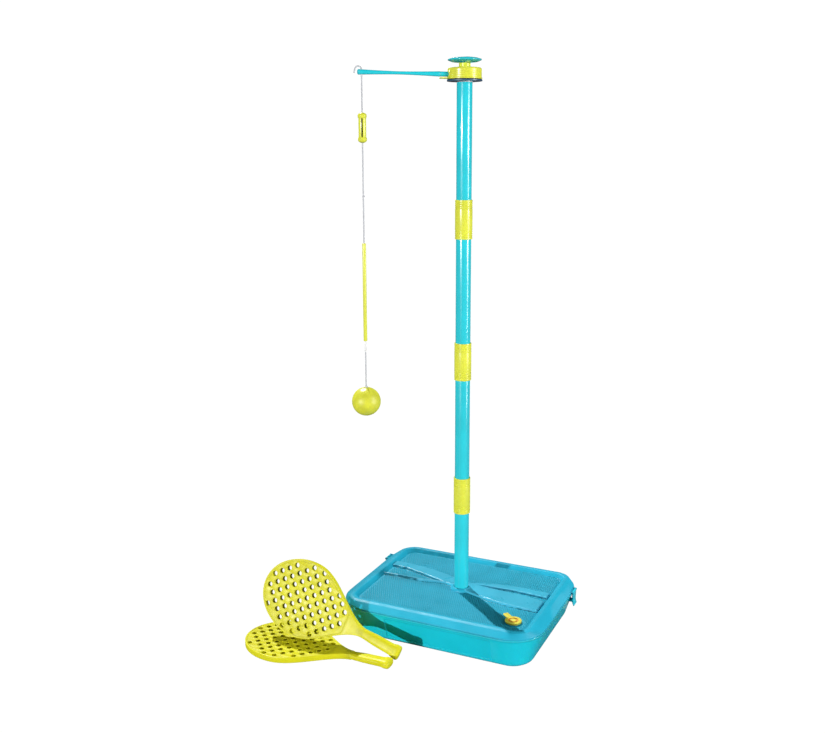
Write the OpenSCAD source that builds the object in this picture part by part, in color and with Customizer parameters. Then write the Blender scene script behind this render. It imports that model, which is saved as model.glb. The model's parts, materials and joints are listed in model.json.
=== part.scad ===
// Tetherball set: a case that is the weighted base, a four-section pole with a
// turning head and arm, a tether with its ball, and two perforated bats.
// Millimetres. The origin is on the pole's axis, on the floor, and +Z is up.

/* [Case] */
// Length of the case at the seam between tub and lid
case_l = 460; // [450:1:470]
// Width of the case at the seam
case_w = 357; // [350:1:364]
// Height of the seam above the floor
seam_z = 70; // [68:0.5:72]
// Height of the lid's rounded rim above the floor
rim_z = 84; // [83:0.5:86]
// Wall thickness of the tub and the lid
wall = 3; // [2.6:0.1:3.4]

/* [Pole] */
// Outside diameter of the pole's tubes
pole_d = 32; // [30:0.5:32]
// Wall thickness of the pole's tubes
pole_wall = 1.7; // [1.2:0.1:2.5]
// Height of the middle of the lowest collar
collar_z = 300; // [290:1:310]
// Distance between the middles of two collars
collar_pitch = 301.5; // [295:0.5:305]
// Outside diameter of a collar
collar_d = 36.5; // [36:0.1:38]
// Height of a collar
collar_h = 81; // [70:1:90]

/* [Head] */
// Height of the underside of the turning drum
drum_z = 1184; // [1180:1:1190]
// Outside diameter of the drum
drum_d = 69; // [66:0.5:72]
// Height of the drum
drum_h = 22; // [20:0.5:24]
// Diameter of the knob
knob_d = 70; // [60:1:76]
// Distance from the pole's axis to the cord hole in the arm
arm_reach = 218.4; // [210:0.2:230]
// Direction of the arm seen from above
arm_turn = -134.3; // [-140:0.1:-130]

/* [Tether] */
// Diameter of the cord
cord_d = 3; // [2.5:0.1:3.2]
// Diameter of the ball
ball_d = 60; // [56:1:64]
// Height of the ball's middle
ball_z = 533.6; // [525:0.2:540]
// Outside diameter of the grip sleeve
sleeve_d = 7.6; // [7:0.1:9]

/* [Bats] */
// Length of a bat
bat_l = 342; // [330:1:350]
// Width of a bat's head
bat_w = 165; // [150:1:170]
// Depth of a bat's rim
bat_rim_t = 12.5; // [10:0.5:14]
// Distance between two rows of holes in a bat's face
bat_hole_step = 13; // [12:0.1:15]

/* [Hidden] */

$fn = 64;
eps = 0.01;
gap = 0.3;             // play between pieces that move past each other

// Case outline: length, width and corner radius at each level
foot_h = 1.2;
tub_floor = [case_l - 46, case_w - 41, 46];
seam = [case_l, case_w, 76];
rim_low = [case_l - 33, case_w - 29, 38];
rim_top = [case_l - 44, case_w - 40, 32];
well_top = [case_l - 57, case_w - 53, 26];
well_low = [case_l - 73, case_w - 69, 20];
panel_z = seam_z + 6;
strap_z = panel_z + 5;
lid_z = seam_z + 0.4;
ledge_z = seam_z - 5;
ledge_t = 2.5;
gasket_t = 2.6;
front_slope = atan2((seam[1] - tub_floor[1]) / 2, seam_z);
grip_x = [-107, 133];  // ends of the shallow hand recess in the front wall
grip_depth = 1.2;

// Lid strap: [x, lower edge, upper edge] of its two crossing bands
strap_main = [[-205, 46, 72], [-158, 44, 71], [-96, 26, 62], [-55, 12, 50], [-16, 0, 36], [7, -13, 26],
              [41, -23, 24], [80, -34, 21], [112, -40, 18], [150, -43, 16], [192, -44, 8]];
strap_cross = [[-202, -3, 3], [-96, -2, 7], [-55, 7, 12], [0, 10, 26], [41, 27, 40],
               [80, 30, 50], [112, 32, 54], [192, 27, 52]];

// Filler in the lid
filler_at = [161, -106];
filler_tab_turn = 137;
filler_bore_r = 13;
plug_r = 17.5;

// Latches on the short sides
latch_y = 100;
latch_w = 22;
latch_pivot_x = seam[0] / 2 + 3;
latch_pivot_z = seam_z + 3;
latch_tip_z = 42;
latch_pin_r = 1.2;
latch_barrel_r = 2.6;
latch_hook = 3.2;      // how far the hook reaches inward from the pivot

// Pole
pole_foot_z = 8;
pole_end_z = drum_z - 6;
shoulder = 3;
socket_r = 23;
socket_top = seam_z - 4;

// Head
plate_t = 2.5;
spindle_r = 6;
bush_r = 8.5;
hub_r = 11.5;
neck_r = 11.75;
neck_h = 10;
knob_z = drum_z + drum_h + neck_h;
knob_h = 11;
screw_r = 1.6;
arm_z = drum_z + 9;
arm_root = drum_d / 2 + 1.5;
arm_spigot_r = 3.5;
tongue_l = 14;

// Tether
tether_x = arm_reach * cos(arm_turn);
tether_y = arm_reach * sin(arm_turn);
swing_z = arm_z - 7.5;
adjuster_z = [1058.7, 1116.4];
adjuster_r = 9.2;
adjuster_body_r = 7.6;
adjuster_core_r = 3.2;
adjuster_slot_w = 3.2;
adjuster_slot_turn = -67;  // direction of the first of its four slots
knot_z = 954.6;
sleeve_z = [661.5, 861.3];
ferrule_z = [641, 661];
ferrule_r = 2.1;
ball_top = ball_z + ball_d / 2;
cord_sides = 8;

// Cord tail on top of the arm's tip, from the hole
tail_route = [[-152.5, -156.3, 1188], [-152.5, -156.3, 1196], [-153, -157, 1200], [-155, -158, 1203],
              [-158, -160, 1204], [-161, -162, 1203], [-163, -163, 1200], [-164, -164, 1196],
              [-165, -164.5, 1191]];

// Bats
bat_neck_l = 152;
bat_tip_l = 100;
bat_neck_w = 9.5;
bat_butt_w = 15.2;
bat_butt_t = 17;
bat_rim_w = 5;
bat_web_t = 11.5;
bat_hole_r = 5.4;
bat_steps = 24;
bat_low_at = [-51.5, -257, 8.6];
bat_low_turn = [0, 0.37, 181];
bat_up_at = [-46, -227, 17.1];
bat_up_turn = [-68.8, -18.3, 179.4];

// ---------- shared shapes ----------

function rounded(s) = [
    for (c = [[1, 1, 0], [-1, 1, 90], [-1, -1, 180], [1, -1, 270]])
        for (a = [0:7.5:90])
            [c[0] * (s[0] / 2 - s[2]) + s[2] * cos(c[2] + a),
             c[1] * (s[1] / 2 - s[2]) + s[2] * sin(c[2] + a)]
];
function grown(s, d) = [s[0] + 2 * d, s[1] + 2 * d, s[2] + d];
function mid(a, b, t) = a + (b - a) * t;

// Straight-sided plate with rounded corners
module plate(s, z, h) {
    translate([0, 0, z]) linear_extrude(height = h) polygon(rounded(s));
}

// Block whose rounded outline changes from one level to the next
module block(s1, z1, s2, z2) {
    hull() {
        plate(s1, z1, eps);
        plate(s2, z2 - eps, eps);
    }
}

module tube(r_out, r_in, z1, z2) {
    translate([0, 0, z1]) difference() {
        cylinder(r = r_out, h = z2 - z1);
        translate([0, 0, -eps]) cylinder(r = r_in, h = z2 - z1 + 2 * eps);
    }
}

module at_tether() {
    translate([tether_x, tether_y, 0]) children();
}

module along_arm(r, z) {
    rotate([0, 0, arm_turn]) translate([r, 0, z]) rotate([0, 90, 0]) children();
}

// Round cord swept along a route of points
function unit(v) = v / norm(v);
function heading(p, i) = unit(p[min(i + 1, len(p) - 1)] - p[max(i - 1, 0)]);
function ring(c, d, r) =
    let (ref = abs(d[1]) < 0.8 ? [0, 1, 0] : [1, 0, 0], u = unit(cross(ref, d)), v = cross(d, u))
    [for (k = [0:cord_sides - 1]) c + r * (u * cos(360 * k / cord_sides) + v * sin(360 * k / cord_sides))];
module cord(route, d) {
    rings = len(route);
    points = [for (i = [0:rings - 1]) each ring(route[i], heading(route, i), d / 2)];
    sides = [
        for (i = [0:rings - 2]) for (k = [0:cord_sides - 1])
            let (a = i * cord_sides + k, b = i * cord_sides + (k + 1) % cord_sides)
            each [[a, a + cord_sides, b], [b, a + cord_sides, b + cord_sides]]
    ];
    caps = [[for (k = [0:cord_sides - 1]) k],
            [for (k = [cord_sides - 1:-1:0]) (rings - 1) * cord_sides + k]];
    polyhedron(points = points, faces = concat(sides, caps), convexity = 4);
}
function hanging(z_top, z_low, n) = [for (i = [0:n]) [tether_x, tether_y, mid(z_top, z_low, i / n)]];

// ---------- case ----------

module case_tub() {
    color("darkturquoise") difference() {
        union() {
            block(tub_floor, foot_h, seam, seam_z);
            difference() {
                plate(grown(tub_floor, -6), 0, foot_h + 1);
                plate(grown(tub_floor, -12), -eps, foot_h + 1);
            }
            cylinder(r = 30, h = foot_h + 1);
            latch_catches();
        }
        tub_inside();
        front_grip();
    }
}

// Inside of the tub, with the ledge that carries the gasket left standing
module tub_inside() {
    difference() {
        block(grown(tub_floor, -wall), foot_h + wall, grown(seam, -wall), seam_z + eps);
        difference() {
            plate(grown(seam, -wall), ledge_z, ledge_t);
            plate(grown(seam, -wall - 5), ledge_z - eps, ledge_t + 2 * eps);
        }
    }
}

// Ledge low on each short wall that a latch's hook closes against
module latch_catches() {
    catch_x = [tub_floor[0] / 2, latch_pivot_x - latch_hook - gap];
    for (s = [0, 1]) mirror([s, 0, 0])
        translate([catch_x[0], latch_y - 7, 49]) cube([catch_x[1] - catch_x[0], 14, 4]);
}

// Shallow recess that follows the slope of the front wall
module front_grip() {
    translate([grip_x[0], -tub_floor[1] / 2, 0])
        rotate([front_slope, 0, 0])
            translate([0, -20, 4])
                cube([grip_x[1] - grip_x[0], 20 + grip_depth, seam_z - 12]);
}

module pole_socket() {
    color("darkturquoise") difference() {
        union() {
            translate([0, 0, foot_h + wall]) cylinder(r = 48, h = 3);
            translate([0, 0, foot_h + wall]) cylinder(r = socket_r, h = socket_top - foot_h - wall);
            for (a = [0:60:300])
                rotate([0, 0, a]) translate([socket_r - 1, -1.5, foot_h + wall])
                    cube([20, 3, 34]);
        }
        translate([0, 0, pole_foot_z]) cylinder(r = pole_d / 2 + gap, h = socket_top);
    }
}

module lid_gasket() {
    color("dimgray") difference() {
        plate(grown(seam, -wall - 1.3), ledge_z + ledge_t, gasket_t);
        plate(grown(seam, -wall - 4.5), ledge_z + ledge_t - eps, gasket_t + 2 * eps);
    }
}

module case_lid() {
    color("deepskyblue") difference() {
        union() {
            difference() {
                union() {
                    block(seam, lid_z, rim_low, rim_z - 3);
                    block(rim_low, rim_z - 3, rim_top, rim_z);
                }
                block(well_low, panel_z, well_top, rim_z + eps);
            }
            lid_strap();
            latch_ears();
        }
        block(grown(seam, -wall), lid_z - eps, grown(rim_low, -wall), panel_z - wall);
        difference() {
            plate(grown(rim_low, -wall), panel_z - wall - eps, 4.5);
            plate(grown(well_low, wall), panel_z - wall - 2 * eps, 5);
        }
        translate([0, 0, seam_z]) cylinder(r = pole_d / 2 + 0.5, h = 20);
        translate([filler_at[0], filler_at[1], seam_z]) cylinder(r = filler_bore_r + 2.5, h = 20);
    }
}

function band(b) = concat([for (p = b) [p[0], p[1]]], [for (i = [len(b) - 1:-1:0]) [b[i][0], b[i][2]]]);
module lid_strap() {
    translate([0, 0, panel_z - 0.5]) linear_extrude(height = strap_z - panel_z + 0.5) {
        polygon(band(strap_main));
        polygon(band(strap_cross));
    }
}

// Two ears a side that carry the latch's pin
module latch_ears() {
    for (s = [-1, 1], e = [-1, 1])
        translate([s * latch_pivot_x, latch_y + e * (latch_w / 2 + 1.9), latch_pivot_z])
            rotate([90, 0, 0]) difference() {
                union() {
                    cylinder(r = latch_barrel_r, h = 3, center = true);
                    translate([-s * 6, 0, 0]) cube([12, 4.2, 3], center = true);
                }
                cylinder(r = latch_pin_r, h = 5, center = true);
            }
}

module latch_pins() {
    color("silver") for (s = [-1, 1])
        translate([s * latch_pivot_x, latch_y, latch_pivot_z])
            rotate([90, 0, 0]) cylinder(r = latch_pin_r, h = latch_w + 6.4, center = true);
}

// Latch seen from the front: barrel, blade down the wall, hook and flared finger tip
module latch(side) {
    tip = latch_tip_z - latch_pivot_z;
    blade = [[-1, 0], [2.5, 0], [1.8, -16], [1.8, -23], [4.2, tip], [2.6, tip - 0.8], [-0.6, -24], [-1, -16]];
    hook = [[-0.8, -17], [-latch_hook, -20], [-latch_hook, -24.5], [-0.8, -25.5]];
    color("darkturquoise") translate([side * latch_pivot_x, latch_y, latch_pivot_z])
        mirror([side < 0 ? 1 : 0, 0, 0]) rotate([90, 0, 0]) difference() {
            union() {
                cylinder(r = latch_barrel_r, h = latch_w, center = true);
                linear_extrude(height = latch_w, center = true) polygon(blade);
                linear_extrude(height = latch_w - 9, center = true) polygon(hook);
            }
            cylinder(r = latch_pin_r + 0.1, h = latch_w + 1, center = true);
        }
}
module latch_right() { latch(1); }
module latch_left() { latch(-1); }

module at_filler(z) {
    translate([filler_at[0], filler_at[1], z]) children();
}

module filler_neck() {
    color("deepskyblue") at_filler(0) {
        tube(filler_bore_r + 2.5, filler_bore_r, panel_z - 14, panel_z);
        tube(filler_bore_r + 5, filler_bore_r, panel_z, panel_z + 1.2);
    }
}

module filler_plug() {
    cap_z = panel_z + 1.5;
    color("gold") at_filler(0) difference() {
        union() {
            translate([0, 0, cap_z]) cylinder(r = plug_r, h = 4.5);
            tube(filler_bore_r - 0.6, filler_bore_r - 3, cap_z - 10, cap_z + 1);
            rotate([0, 0, filler_tab_turn]) translate([plug_r - 3, -6, cap_z + 1.2]) cube([16, 12, 2.4]);
            rotate([0, 0, filler_tab_turn]) translate([plug_r + 13, 0, cap_z + 1.2]) cylinder(r = 6, h = 2.4);
        }
        tube(11, 6, cap_z + 2.2, cap_z + 5);
        translate([0, 0, cap_z - 5]) seal_ring();
    }
}

module seal_ring() {
    rotate_extrude() translate([filler_bore_r - 1.2, 0]) circle(r = 1, $fn = 24);
}

module plug_seal() {
    color("dimgray") at_filler(panel_z - 3.5) seal_ring();
}

// ---------- pole ----------

module pole_tube(z1, z2) {
    color("turquoise") tube(pole_d / 2, pole_d / 2 - pole_wall, z1, z2);
}
function collar_mid(k) = collar_z + k * collar_pitch;
module pole_bottom() { pole_tube(pole_foot_z + 0.2, collar_mid(0) - shoulder / 2); }
module pole_lower() { pole_tube(collar_mid(0) + shoulder / 2, collar_mid(1) - shoulder / 2); }
module pole_upper() { pole_tube(collar_mid(1) + shoulder / 2, collar_mid(2) - shoulder / 2); }
module pole_top() { pole_tube(collar_mid(2) + shoulder / 2, pole_end_z); }

// Sleeve that holds the tube below and takes the tube above, with grip rings at both ends
module collar(k) {
    groove_w = 1.6;
    groove_pitch = 4.2;
    zc = collar_mid(k);
    color("yellow") difference() {
        translate([0, 0, zc - collar_h / 2]) cylinder(r = collar_d / 2, h = collar_h);
        translate([0, 0, zc - collar_h / 2 - eps])
            cylinder(r = pole_d / 2, h = collar_h / 2 - shoulder / 2 + eps);
        translate([0, 0, zc + shoulder / 2]) cylinder(r = pole_d / 2 + gap, h = collar_h / 2);
        translate([0, 0, zc - shoulder]) cylinder(r = pole_d / 2 - pole_wall, h = 2 * shoulder);
        for (e = [-1, 1], i = [0:3])
            tube(collar_d, collar_d / 2 - 0.7,
                 zc + e * (collar_h / 2 - 5 - i * groove_pitch) - groove_w / 2,
                 zc + e * (collar_h / 2 - 5 - i * groove_pitch) + groove_w / 2);
    }
}
module collar_lower() { collar(0); }
module collar_middle() { collar(1); }
module collar_upper() { collar(2); }

module spindle() {
    color("whitesmoke") difference() {
        union() {
            translate([0, 0, pole_end_z - 28]) cylinder(r = pole_d / 2 - pole_wall, h = 28);
            translate([0, 0, pole_end_z]) cylinder(r = pole_d / 2, h = 2);
            translate([0, 0, pole_end_z]) cylinder(r = spindle_r, h = knob_z + 2 - pole_end_z);
        }
        translate([0, 0, pole_end_z - 29]) cylinder(r = 11, h = 24);
        translate([0, 0, knob_z - 16]) cylinder(r = screw_r + 0.1, h = 20);
    }
}

module head_base_plate() {
    color("midnightblue") tube(drum_d / 2 + 1.5, spindle_r, pole_end_z + 2, pole_end_z + 2 + plate_t);
}

module thrust_washer() {
    color("whitesmoke") tube(14, spindle_r, pole_end_z + 2 + plate_t, drum_z - 0.2);
}

// ---------- head ----------

// Hollow drum with its hub and neck, the arm's socket and the tongue under the arm
module head_drum() {
    r = drum_d / 2;
    top = drum_z + drum_h;
    color("yellow") difference() {
        union() {
            rotate_extrude() polygon(concat(
                [[bush_r, drum_z], [hub_r, drum_z], [hub_r, top - 3], [r - 3, top - 3], [r - 3, drum_z],
                 [r + 1.2, drum_z], [r + 1.2, drum_z + 1.6], [r, drum_z + 2.6]],
                [for (a = [0:15:90]) [r - 4 + 4 * cos(a), top - 4 + 4 * sin(a)]],
                [[neck_r, top + 0.6], [neck_r, knob_z - 0.4], [bush_r, knob_z - 0.4]]));
            along_arm(hub_r - 1.5, arm_z) cylinder(r = 6.6, h = arm_root - hub_r + 1.5);
            rotate([0, 0, arm_turn]) translate([r - 2.5, -7, drum_z]) cube([tongue_l + 0.5, 14, 2.6]);
            rotate([0, 0, arm_turn]) translate([r + tongue_l - 2, 0, drum_z]) cylinder(r = 7, h = 2.6);
        }
        along_arm(20, arm_z) cylinder(r = arm_spigot_r + gap, h = 40);
    }
}

module bearing_bush() {
    color("whitesmoke") tube(bush_r, spindle_r + 0.1, drum_z, knob_z - 0.4);
}

// Lens-shaped disc with three windows round its hub
module top_knob() {
    r = knob_d / 2;
    color("turquoise") difference() {
        rotate_extrude() polygon([[0, knob_z], [neck_r, knob_z], [r - 6, knob_z + 2.2], [r, knob_z + 5],
                                  [r - 1, knob_z + 6.4], [r - 8, knob_z + 9], [r / 2, knob_z + knob_h - 0.6],
                                  [0, knob_z + knob_h]]);
        for (a = [0:120:240]) knob_window(arm_turn + 40 + a);
        translate([0, 0, knob_z - eps]) cylinder(r = spindle_r + 0.05, h = 2.1);
        translate([0, 0, knob_z]) cylinder(r = 2.1, h = 20);
        translate([0, 0, knob_z + 7.4]) cylinder(r = 5.5, h = 10);
    }
}
module knob_window(turn) {
    intersection() {
        tube(25, 12.5, knob_z - 1, knob_z + 20);
        rotate([0, 0, turn]) linear_extrude(height = 2 * knob_z)
            polygon([[0, 0], for (a = [-42:14:42]) 45 * [cos(a), sin(a)]]);
    }
}

module knob_screw() {
    color("silver") difference() {
        union() {
            translate([0, 0, knob_z + 7.4]) cylinder(r = 4.6, h = 2.8);
            translate([0, 0, knob_z - 14]) cylinder(r = screw_r, h = 22);
        }
        for (a = [0, 90]) rotate([0, 0, a]) translate([-3, -0.5, knob_z + 9]) cube([6, 1, 2]);
    }
}

// Arm with a waist, a spigot for the drum and a hole for the cord
module arm() {
    steps = 16;
    l = arm_reach + 6 - arm_root - 18;
    color("turquoise") difference() {
        union() {
            along_arm(22, arm_z) cylinder(r = arm_spigot_r, h = arm_root);
            along_arm(arm_root + 0.2, arm_z) cylinder(r = 4.7, h = 18.2);
            along_arm(arm_root + 18, arm_z) rotate_extrude() polygon(concat(
                [[0, 0]],
                [for (i = [0:steps]) [3.1 + 2.1 * pow(abs(2 * i / steps - 1), 1.6), l * i / steps]],
                [[3.6, l + 1.8], [0, l + 2.2]]));
        }
        at_tether() translate([0, 0, arm_z - 10]) cylinder(r = cord_d / 2 + 0.2, h = 20);
    }
}

module cord_tail() {
    color("white") cord(tail_route, cord_d);
}

// ---------- tether ----------

module tether_cord_upper() {
    color("white") {
        cord(hanging(swing_z, knot_z + 3.1, 32), cord_d);
        at_tether() translate([0, 0, swing_z]) sphere(r = cord_d / 2 + 0.4);
    }
}

module tether_knot() {
    color("white") at_tether() translate([0, 0, knot_z]) sphere(r = 3);
}

// Barrel with two bulged ends and four long slots, round the friction core
module adjuster_frame() {
    z1 = adjuster_z[0];
    z2 = adjuster_z[1];
    color("yellow") at_tether() difference() {
        union() {
            for (e = [0, 1])
                translate([0, 0, e ? z2 : z1]) mirror([0, 0, e]) rotate_extrude() polygon(concat(
                    [[0, 0], [3, 0]],
                    [for (a = [0:15:90]) [3 + (adjuster_r - 3) * sin(a), 6.5 - 6.5 * cos(a)]],
                    [[adjuster_r, 8.5], [adjuster_body_r, 10.5], [0, 10.5]]));
            translate([0, 0, z1 + 9]) cylinder(r = adjuster_body_r, h = z2 - z1 - 18);
        }
        translate([0, 0, z1 - 1]) cylinder(r = cord_d / 2 + gap, h = z2 - z1 + 2);
        translate([0, 0, z1 + 9]) cylinder(r = adjuster_core_r, h = z2 - z1 - 18);
        for (a = [0:90:270]) rotate([0, 0, adjuster_slot_turn + a])
            translate([adjuster_core_r - 1, -adjuster_slot_w / 2, z1 + 11.5])
                cube([adjuster_r, adjuster_slot_w, z2 - z1 - 23]);
    }
}

// Rubber core that grips the cord, so that the adjuster stays where it is slid
module adjuster_core() {
    color("dimgray") at_tether()
        tube(adjuster_core_r, cord_d / 2 + gap, adjuster_z[0] + 9, adjuster_z[1] - 9);
}

module tether_cord_middle() {
    color("white") cord(hanging(knot_z - 3.2, ferrule_z[1], 38), cord_d);
}

module ferrule() {
    color("whitesmoke") at_tether() {
        translate([0, 0, ferrule_z[0]]) cylinder(r = ferrule_r, h = ferrule_z[1] - ferrule_z[0]);
        translate([0, 0, ferrule_z[0]]) sphere(r = ferrule_r);
    }
}

module grip_sleeve() {
    color("yellow") at_tether() tube(sleeve_d / 2, cord_d / 2 + gap, sleeve_z[0], sleeve_z[1]);
}

module tether_cord_lower() {
    color("white") cord(hanging(ferrule_z[0] - 2.8, ball_top + 3.4, 12), cord_d);
}

module ball_loop() {
    color("lightgray") at_tether() difference() {
        translate([0, 0, ball_top + 1]) sphere(r = 3.2);
        translate([0, 0, ball_z]) sphere(r = ball_d / 2, $fn = 96);
        translate([0, 0, ball_top + 3.3]) cylinder(r = 5, h = 5);
    }
}

module ball() {
    color("yellow") at_tether() translate([0, 0, ball_z]) difference() {
        sphere(r = ball_d / 2, $fn = 96);
        sphere(r = ball_d / 2 - 4, $fn = 96);
    }
}

// ---------- bats ----------

// Half-width of the bat at a distance u from its butt, less an inset
function bat_half(u, inset) =
    let (uc = bat_l - bat_tip_l, b = bat_w / 2)
    u > uc ? (b - inset) * sqrt(max(0, 1 - pow((u - uc) / (bat_tip_l - inset), 2)))
    : bat_neck_w - inset + (b - bat_neck_w) * pow((1 + cos(180 * min(1, (uc - u) / bat_neck_l))) / 2, 0.85);
function bat_edge(u_from, inset) =
    let (uc = bat_l - bat_tip_l)
    concat([for (i = [0:bat_steps]) let (u = mid(u_from, uc, i / bat_steps)) [u, bat_half(u, inset)]],
           [for (a = [90 - 90 / bat_steps:-90 / bat_steps:0])
               [uc + (bat_tip_l - inset) * cos(a), (bat_w / 2 - inset) * sin(a)]]);
function both_sides(e) = concat(e, [for (i = [len(e) - 2:-1:0]) [e[i][0], -e[i][1]]]);

module bat() {
    neck_u = bat_l - bat_tip_l - bat_neck_l;
    face_u = neck_u + 45;
    color("yellow") {
        difference() {
            linear_extrude(height = bat_rim_t, center = true) polygon(both_sides(bat_edge(neck_u, 0)));
            for (s = [-1, 1])
                translate([0, 0, s * (bat_rim_t + bat_web_t) / 2])
                    linear_extrude(height = bat_rim_t, center = true)
                        polygon(both_sides(bat_edge(face_u, bat_rim_w)));
            intersection() {
                linear_extrude(height = bat_rim_t - 0.5, center = true)
                    polygon(both_sides(bat_edge(face_u, bat_rim_w)));
                bat_holes(face_u);
            }
        }
        bat_handle(neck_u + 1);
    }
}

// Handle: its outline seen from above, cut by its outline seen from the side
module bat_handle(end_u) {
    wide = [[end_u, bat_neck_w], [60, 12], [18, 12.6], [12, bat_butt_w], [3, bat_butt_w], [0, bat_butt_w - 3]];
    deep = [[end_u, bat_rim_t / 2], [60, 7.4], [18, 7.6], [12, bat_butt_t / 2], [3, bat_butt_t / 2],
            [0, bat_butt_t / 2 - 2]];
    intersection() {
        linear_extrude(height = bat_butt_t + 2, center = true) polygon(mirrored(wide));
        rotate([90, 0, 0]) linear_extrude(height = 3 * bat_butt_w, center = true) polygon(mirrored(deep));
    }
}
function mirrored(p) = concat(p, [for (i = [len(p) - 1:-1:0]) [p[i][0], -p[i][1]]]);

// Staggered rows of round holes over the whole face; the rim cuts into the outermost ones
module bat_holes(from_u) {
    rows = ceil(bat_w / 2 / bat_hole_step);
    margin = bat_rim_w + 3;
    for (j = [-rows:rows], i = [0:ceil(bat_l / bat_hole_step)]) {
        u = from_u + 10.4 + i * bat_hole_step;
        v = (j + 0.5) * bat_hole_step;
        if ((i + j) % 2 == 0 && u < bat_l - margin && abs(v) < bat_half(u, margin))
            translate([u, v, 0]) cylinder(r = bat_hole_r, h = 2 * bat_web_t, center = true, $fn = 24);
    }
}

module bat_lower() {
    translate(bat_low_at) rotate(bat_low_turn) bat();
}

module bat_upper() {
    translate(bat_up_at) rotate([0, 0, bat_up_turn[2]]) rotate([0, bat_up_turn[1], 0])
        rotate([bat_up_turn[0], 0, 0]) bat();
}

case_tub();
pole_socket();
lid_gasket();
case_lid();
filler_neck();
latch_pins();
filler_plug();
plug_seal();
latch_right();
latch_left();
pole_bottom();
collar_lower();
pole_lower();
collar_middle();
pole_upper();
collar_upper();
pole_top();
spindle();
head_base_plate();
thrust_washer();
head_drum();
bearing_bush();
top_knob();
knob_screw();
arm();
cord_tail();
tether_cord_upper();
tether_knot();
adjuster_frame();
adjuster_core();
tether_cord_middle();
ferrule();
grip_sleeve();
tether_cord_lower();
ball();
ball_loop();
bat_lower();
bat_upper();
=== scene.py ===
"""Looks of the tetherball set: a case that is the base, a sectional pole with a turning head and arm,
a tether with its ball, and two bats. Shapes are written in millimetres and scaled to metres when a
piece is made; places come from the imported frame."""
import json
import math

import bmesh
import bpy
from mathutils import Matrix, Vector


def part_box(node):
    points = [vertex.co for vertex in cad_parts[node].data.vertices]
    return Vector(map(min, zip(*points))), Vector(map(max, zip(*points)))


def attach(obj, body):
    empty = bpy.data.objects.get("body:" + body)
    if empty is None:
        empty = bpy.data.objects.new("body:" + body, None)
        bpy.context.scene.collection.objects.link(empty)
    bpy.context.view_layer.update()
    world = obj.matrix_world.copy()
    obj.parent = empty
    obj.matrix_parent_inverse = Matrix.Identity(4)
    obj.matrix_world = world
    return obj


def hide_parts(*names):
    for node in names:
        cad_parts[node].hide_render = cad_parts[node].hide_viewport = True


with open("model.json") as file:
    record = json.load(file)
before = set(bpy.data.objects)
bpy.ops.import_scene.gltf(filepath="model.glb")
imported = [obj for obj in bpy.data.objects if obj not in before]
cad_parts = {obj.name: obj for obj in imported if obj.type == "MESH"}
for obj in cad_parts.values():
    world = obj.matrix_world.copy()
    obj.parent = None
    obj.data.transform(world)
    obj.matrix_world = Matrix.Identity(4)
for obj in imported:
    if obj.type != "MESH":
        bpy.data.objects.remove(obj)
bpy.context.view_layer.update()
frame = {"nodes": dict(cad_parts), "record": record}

MM = 0.001
LIT_MIDDLE = (0, 0, 0.6)
NODE_BODY = {n: body for body, nodes in frame["record"]["behaviour"]["bodies"].items() for n in nodes}
NODE_SLOT = {row["node"]: row["material_slot"] for row in frame["record"]["subparts"]}


# ---------- camera, light and floor ----------

def make_camera():
    data = bpy.data.cameras.new("camera")
    data.lens = 42.76
    data.sensor_width = 36
    data.clip_end = 100
    camera = bpy.data.objects.new("camera", data)
    yaw, pitch, roll = 0.4383, 0.2140, -0.0046
    turn = Matrix.Rotation(yaw, 4, "Z")
    turn = turn @ Matrix.Rotation(math.pi / 2 - pitch, 4, "X") @ Matrix.Rotation(roll, 4, "Z")
    camera.matrix_world = Matrix.Translation((0.7755, -1.9091, 1.0377)) @ turn
    bpy.context.scene.collection.objects.link(camera)
    bpy.context.scene.camera = camera


def aim(azimuth, elevation):
    """Direction to a lamp at this azimuth and elevation, and the turn that points the lamp back."""
    a, e = math.radians(azimuth), math.radians(elevation)
    towards = Vector((math.cos(a) * math.cos(e), math.sin(a) * math.cos(e), math.sin(e)))
    return towards, towards.to_track_quat("Z", "Y")


def sun(name, azimuth, elevation, strength, angle):
    data = bpy.data.lights.new(name, "SUN")
    data.energy = strength
    data.angle = math.radians(angle)
    lamp = bpy.data.objects.new(name, data)
    lamp.rotation_mode = "QUATERNION"
    lamp.rotation_quaternion = aim(azimuth, elevation)[1]
    bpy.context.scene.collection.objects.link(lamp)


def softbox(name, azimuth, elevation, distance, size, strength):
    data = bpy.data.lights.new(name, "AREA")
    data.shape = "RECTANGLE"
    data.size, data.size_y = size
    data.energy = strength
    lamp = bpy.data.objects.new(name, data)
    towards, turn = aim(azimuth, elevation)
    lamp.location = Vector(LIT_MIDDLE) + towards * distance
    lamp.rotation_mode = "QUATERNION"
    lamp.rotation_quaternion = turn
    bpy.context.scene.collection.objects.link(lamp)


def make_world():
    world = bpy.data.worlds.new("studio")
    world.use_nodes = True
    tree = world.node_tree
    tree.nodes.clear()
    out = tree.nodes.new("ShaderNodeOutputWorld")
    seen = tree.nodes.new("ShaderNodeBackground")
    seen.inputs["Color"].default_value = (1, 1, 1, 1)
    seen.inputs["Strength"].default_value = 1.03
    lit = tree.nodes.new("ShaderNodeBackground")
    lit.inputs["Color"].default_value = (0.93, 0.97, 1.0, 1)
    lit.inputs["Strength"].default_value = 0.06
    path = tree.nodes.new("ShaderNodeLightPath")
    mix = tree.nodes.new("ShaderNodeMixShader")
    tree.links.new(path.outputs["Is Camera Ray"], mix.inputs["Fac"])
    tree.links.new(lit.outputs[0], mix.inputs[1])
    tree.links.new(seen.outputs[0], mix.inputs[2])
    tree.links.new(mix.outputs[0], out.inputs["Surface"])
    bpy.context.scene.world = world


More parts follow.
